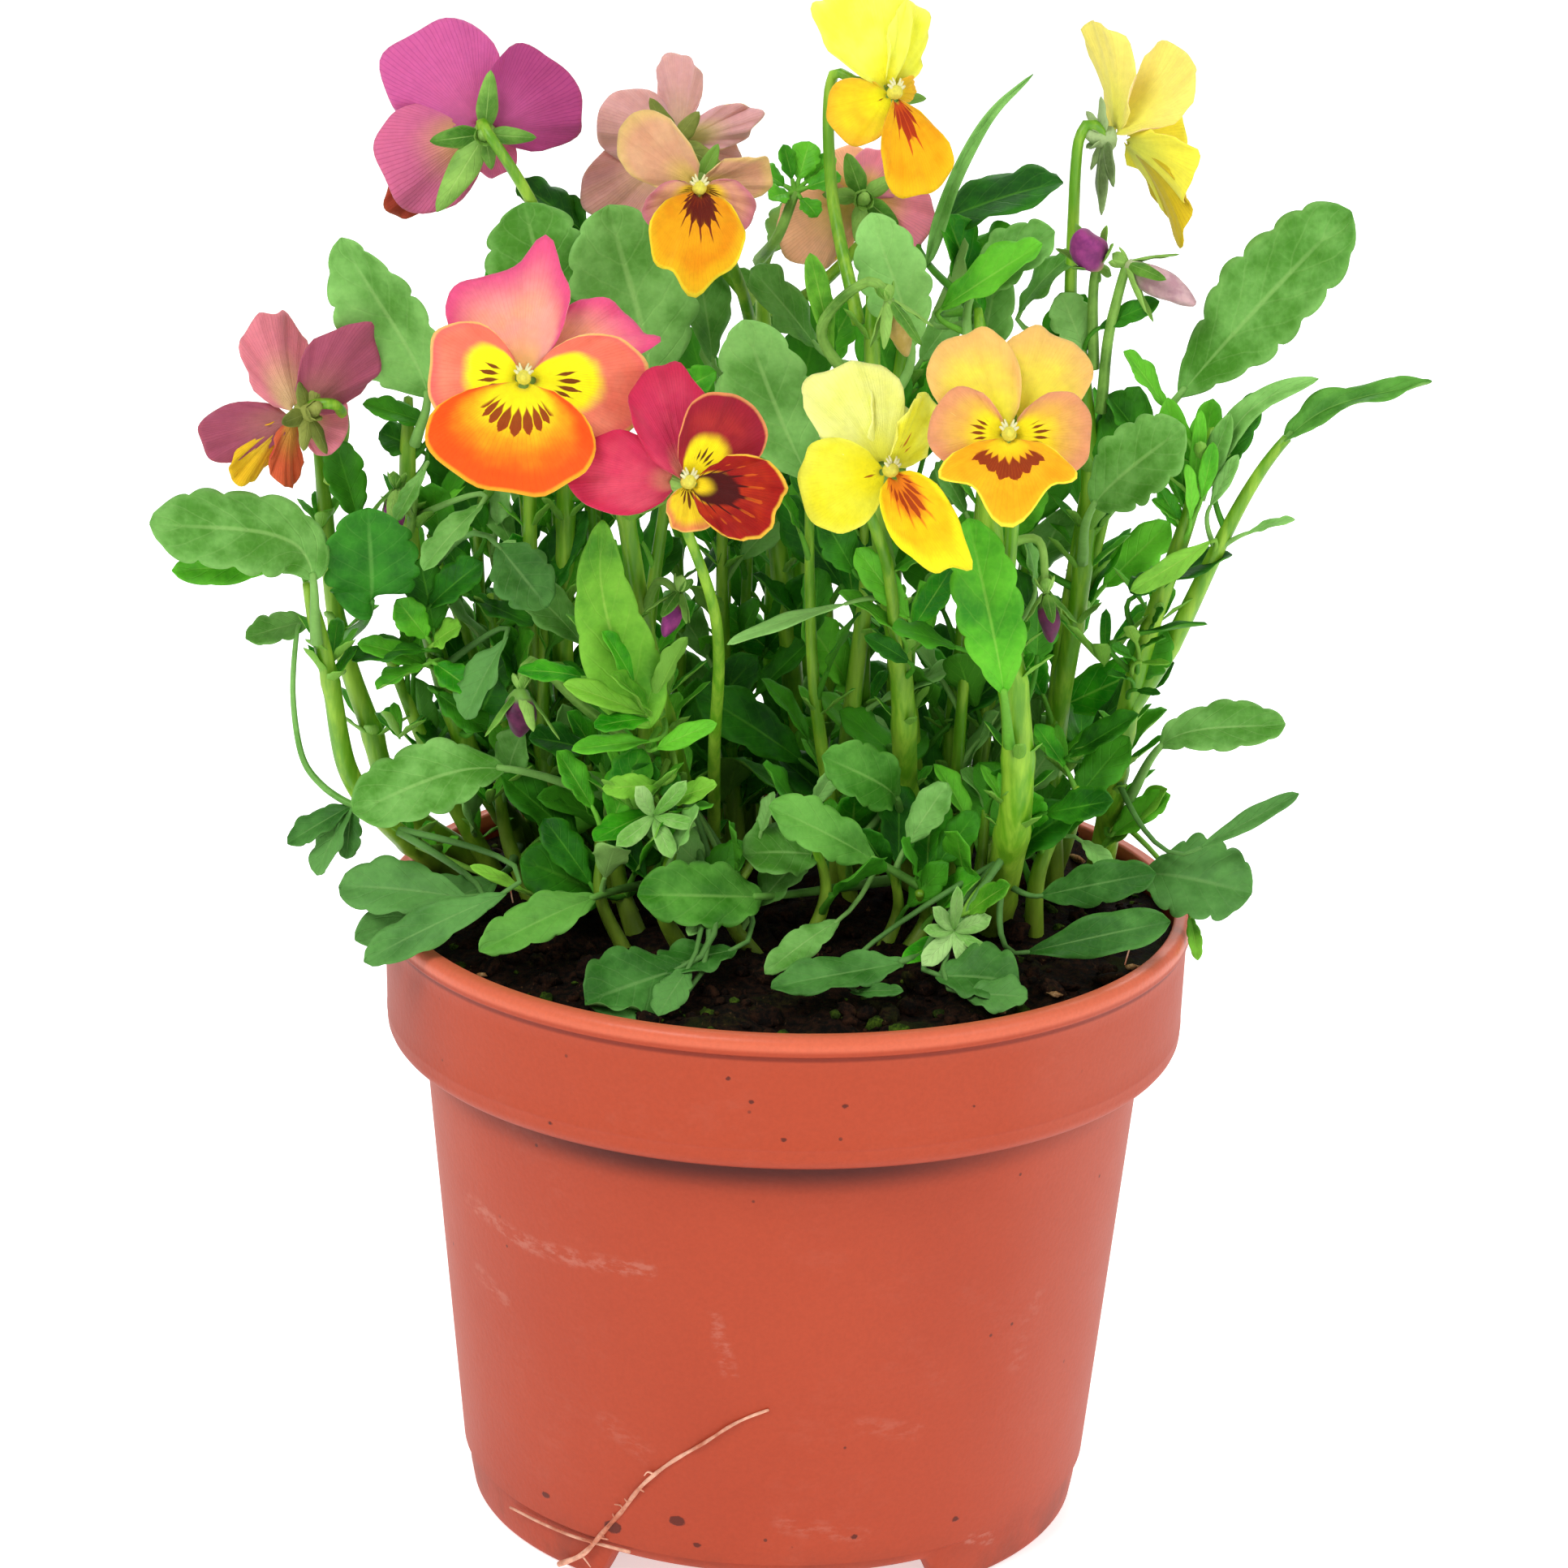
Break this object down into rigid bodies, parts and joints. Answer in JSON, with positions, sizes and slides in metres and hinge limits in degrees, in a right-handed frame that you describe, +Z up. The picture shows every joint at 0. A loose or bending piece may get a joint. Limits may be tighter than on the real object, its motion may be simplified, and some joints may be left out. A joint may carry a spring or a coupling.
{
  "type": "potted pansy planter",
  "caption": "Round tapered plastic nursery pot with a tall rim band, filled with soil, growing a leafy clump of small pansies in mixed colours.",
  "frame": {"origin": "centre of the bounding box's footprint, on the surface the pot stands on; the pot's own axis is the Z axis to within a millimetre", "axes": "+Z up along the pot's axis, -Y is the planter's front, +X to the right seen from the front"},
  "size_m": [0.1954, 0.13, 0.2486],
  "materials": {
    "terracotta_plastic": "satin injection-moulded terracotta-coloured plastic, a little dusty",
    "soil": "moist dark peat compost with crumbs and a little moss",
    "root": "thin pale fibrous root",
    "stem": "fleshy yellow-green stem, slightly glossy",
    "leaf": "soft veined green leaf with a scalloped edge",
    "petals_magenta": "velvety purple-magenta petals with darker veins, one blushed yellow",
    "petals_dusky": "velvety dusky pink petals with a salmon blush",
    "petals_peach": "velvety peach petals, orange lower petal with a dark brown-red blotch",
    "petals_yellow": "velvety bright yellow petals, lower petal orange-yellow with a red-brown blotch",
    "petals_pale": "velvety pale yellow and peach petals",
    "petals_salmon": "velvety salmon pink petals",
    "petals_rose": "velvety rose pink over coral and orange petals with dark whiskers",
    "petals_crimson": "velvety crimson petals with a yellow centre and dark blotches",
    "petals_lemon": "velvety pale lemon petals, lower petal orange-yellow",
    "petals_apricot": "velvety apricot-yellow petals, orange lower petal with a brown-red blotch",
    "petals_mauve": "velvety dusky mauve-pink petals with a little yellow",
    "bud_purple": "rolled purple petals",
    "bud_pink": "closed dusky pink petals",
    "bud_low": "rolled purple petals in green sepals",
    "bud_spent": "withered grey-green petals"
  },
  "bodies": {
    "root": {"pot": "terracotta_plastic", "soil": "soil", "root": "root", "stem_outer_left": "stem", "stem_left": "stem", "stem_middle_left": "stem", "stem_back_left": "stem", "stem_centre_left": "stem", "stem_back_centre": "stem", "stem_centre": "stem", "stem_centre_right": "stem", "stem_right": "stem", "stem_outer_right": "stem", "leaf_tall_right": "leaf", "leaf_broad_left": "leaf", "leaf_round_left": "leaf", "leaf_folded_left": "leaf", "leaf_back_left": "leaf", "leaf_broad_middle": "leaf", "leaf_centre_top": "leaf", "leaf_right_top": "leaf", "leaf_tall_centre": "leaf", "leaf_dusky_right": "leaf", "leaf_far_right": "leaf", "leaf_low_right": "leaf", "leaf_rim_right": "leaf", "leaf_low_left": "leaf", "leaf_rim_left": "leaf", "leaf_front_left": "leaf", "leaf_front_middle": "leaf", "leaf_front_diagonal": "leaf", "leaf_small_centre": "leaf", "leaf_soil_front": "leaf", "leaf_upright_right": "leaf", "stalk_magenta": "stem", "corolla_magenta": "petals_magenta", "stalk_dusky": "stem", "corolla_dusky": "petals_dusky", "stalk_peach": "stem", "corolla_peach": "petals_peach", "stalk_yellow": "stem", "corolla_yellow": "petals_yellow", "stalk_pale": "stem", "corolla_pale": "petals_pale", "stalk_salmon": "stem", "corolla_salmon": "petals_salmon", "stalk_rose": "stem", "corolla_rose": "petals_rose", "stalk_crimson": "stem", "corolla_crimson": "petals_crimson", "stalk_lemon": "stem", "corolla_lemon": "petals_lemon", "stalk_apricot": "stem", "corolla_apricot": "petals_apricot", "stalk_mauve": "stem", "corolla_mauve": "petals_mauve", "bud_purple": "bud_purple", "bud_pink": "bud_pink", "bud_low": "bud_low", "bud_spent": "bud_spent"}
  },
  "joints": []
}
